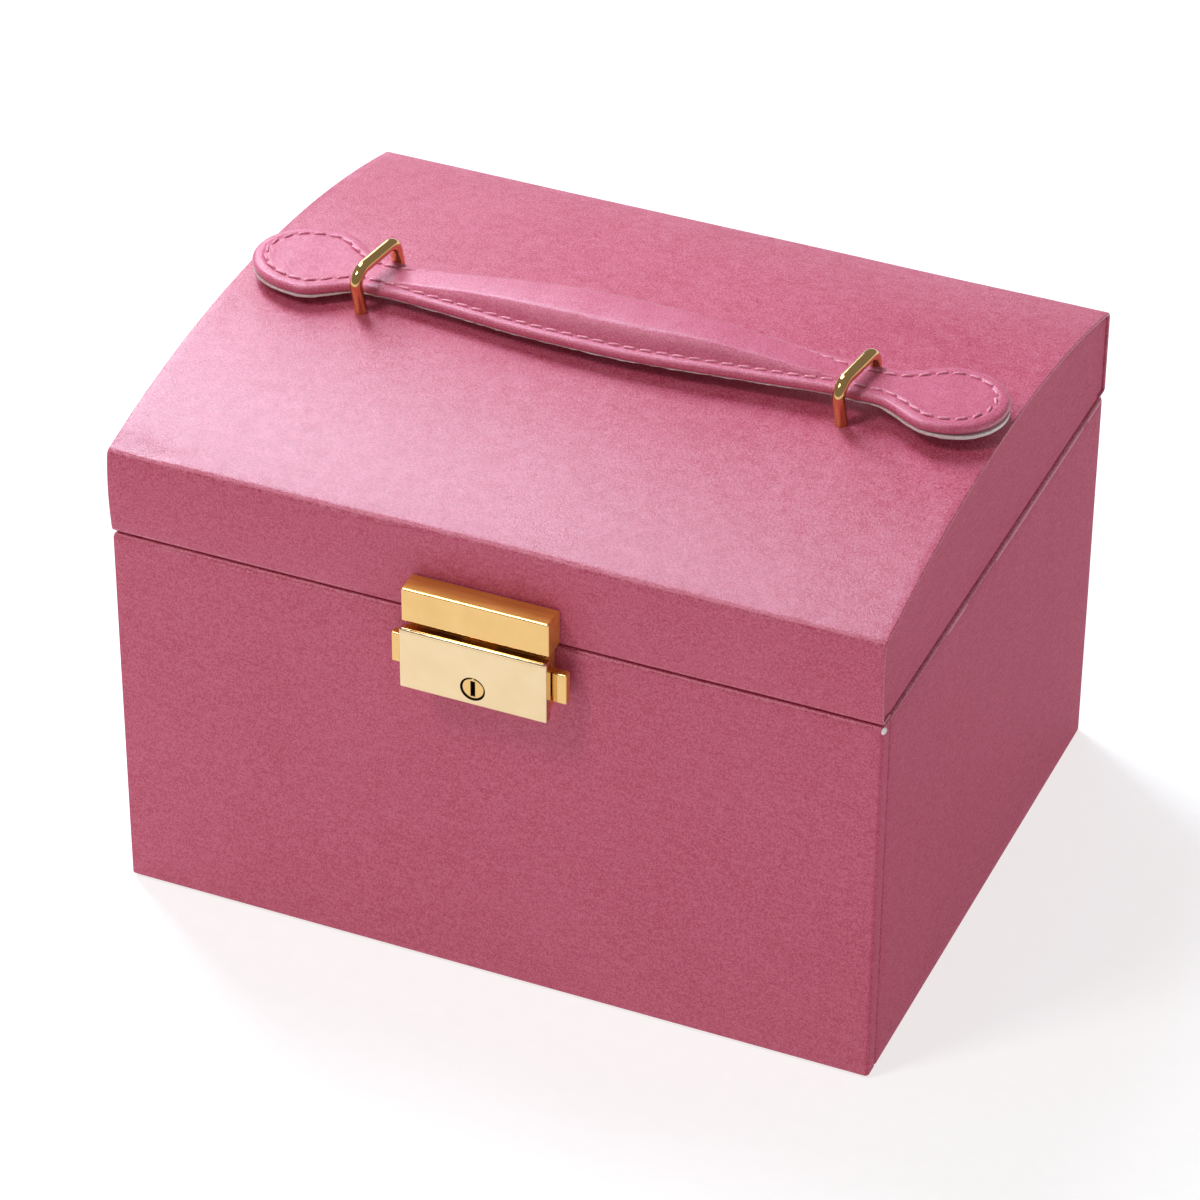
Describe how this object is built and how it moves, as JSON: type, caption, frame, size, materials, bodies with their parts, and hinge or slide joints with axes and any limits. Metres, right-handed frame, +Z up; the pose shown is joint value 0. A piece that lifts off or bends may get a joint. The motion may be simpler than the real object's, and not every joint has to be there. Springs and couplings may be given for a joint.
{
  "type": "makeup train case",
  "caption": "Box-shaped makeup case of wrapped board with an arched hinged lid, sliding strap handle, hasp lock, lid mirror and lift-out tray.",
  "frame": {"origin": "centre of the flat underside of the lower case", "axes": "+X to the right along the case width, +Y from the lock towards the back hinges, +Z up"},
  "size_m": [0.175, 0.1533, 0.133],
  "materials": {
    "leatherette": "satin pearl rose, fine speckled grain",
    "strap_leatherette": "satin pearl rose, padded and stitched",
    "core_board": "raw grey-brown board",
    "velvet": "short cream velvet pile",
    "mirror": "silvered glass",
    "gold_trim": "polished light gold plate",
    "steel": "plain zinc-plated steel"
  },
  "bodies": {
    "case": {"front_cover": "leatherette", "front_board": "core_board", "body_cover": "leatherette", "back_board": "core_board", "left_board": "core_board", "right_board": "core_board", "base_board": "core_board", "base_cover": "leatherette", "front_lining": "velvet", "back_lining": "velvet", "left_lining": "velvet", "right_lining": "velvet", "floor_pad": "velvet", "lock_case": "gold_trim", "lock_front_plate": "gold_trim", "left_button_spring": "steel", "right_button_spring": "steel", "left_hinge_case_leaf": "gold_trim", "right_hinge_case_leaf": "gold_trim", "left_hinge_pin": "steel", "right_hinge_pin": "steel", "left_hinge_case_inner_rivet": "gold_trim", "left_hinge_case_outer_rivet": "gold_trim", "right_hinge_case_inner_rivet": "gold_trim", "right_hinge_case_outer_rivet": "gold_trim"},
    "lid": {"lid_cover": "leatherette", "lid_arch_board": "core_board", "lid_front_board": "core_board", "lid_back_board": "core_board", "left_gusset_board": "core_board", "right_gusset_board": "core_board", "left_gusset_cover": "leatherette", "right_gusset_cover": "leatherette", "lid_liner": "velvet", "mirror": "mirror", "mirror_frame": "gold_trim", "left_loop": "gold_trim", "right_loop": "gold_trim", "left_loop_plate": "steel", "right_loop_plate": "steel", "strap_left_end": "strap_leatherette", "hasp": "gold_trim", "left_hinge_lid_leaf": "gold_trim", "right_hinge_lid_leaf": "gold_trim", "left_hinge_lid_inner_rivet": "gold_trim", "left_hinge_lid_outer_rivet": "gold_trim", "right_hinge_lid_inner_rivet": "gold_trim", "right_hinge_lid_outer_rivet": "gold_trim"},
    "strap_left": {"strap_left_half": "strap_leatherette"},
    "strap_right": {"strap_right_half": "strap_leatherette"},
    "strap_end": {"strap_right_end": "strap_leatherette"},
    "left_button": {"left_button": "gold_trim"},
    "right_button": {"right_button": "gold_trim"},
    "key": {"key_cylinder": "gold_trim"},
    "tray": {"tray_shell": "velvet", "tray_long_divider": "velvet", "tray_cross_divider": "velvet", "ring_rolls": "velvet", "tray_pull": "leatherette"}
  },
  "joints": [
    {"name": "lid_hinge", "type": "hinge", "parent": "case", "child": "lid", "pos_m": [0, 0.0712, 0.0918], "axis": [-1, 0, 0], "range_deg": [0, 98]},
    {"name": "handle_lift", "type": "hinge", "parent": "lid", "child": "strap_left", "pos_m": [-0.05, -0.0008, 0.126], "axis": [0, -1, 0], "range_deg": [0, 22]},
    {"name": "handle_bend", "type": "hinge", "parent": "strap_left", "child": "strap_right", "pos_m": [0, -0.0008, 0.122], "axis": [0, 1, 0], "range_deg": [0, 44]},
    {"name": "handle_end_bend", "type": "hinge", "parent": "strap_right", "child": "strap_end", "pos_m": [0.05, -0.0008, 0.126], "axis": [0, -1, 0], "range_deg": [0, 22]},
    {"name": "left_button_press", "type": "slide", "parent": "case", "child": "left_button", "axis": [1, 0, 0], "range_m": [0, 0.002], "stiffness_N_per_m": 300, "springref_m": -0.002, "deforming": ["left_button_spring"]},
    {"name": "right_button_press", "type": "slide", "parent": "case", "child": "right_button", "axis": [-1, 0, 0], "range_m": [0, 0.002], "stiffness_N_per_m": 300, "springref_m": -0.002, "deforming": ["right_button_spring"]},
    {"name": "key_turn", "type": "hinge", "parent": "case", "child": "key", "pos_m": [0, -0.0764, 0.081], "axis": [0, 1, 0], "range_deg": [0, 90]},
    {"name": "tray_lift", "type": "slide", "parent": "case", "child": "tray", "axis": [0, 0, 1], "range_m": [0, 0.008]}
  ],
  "couplings": [
    {"joint": "handle_bend", "follows": "handle_lift", "ratio": 2},
    {"joint": "handle_end_bend", "follows": "handle_lift", "ratio": 1}
  ]
}
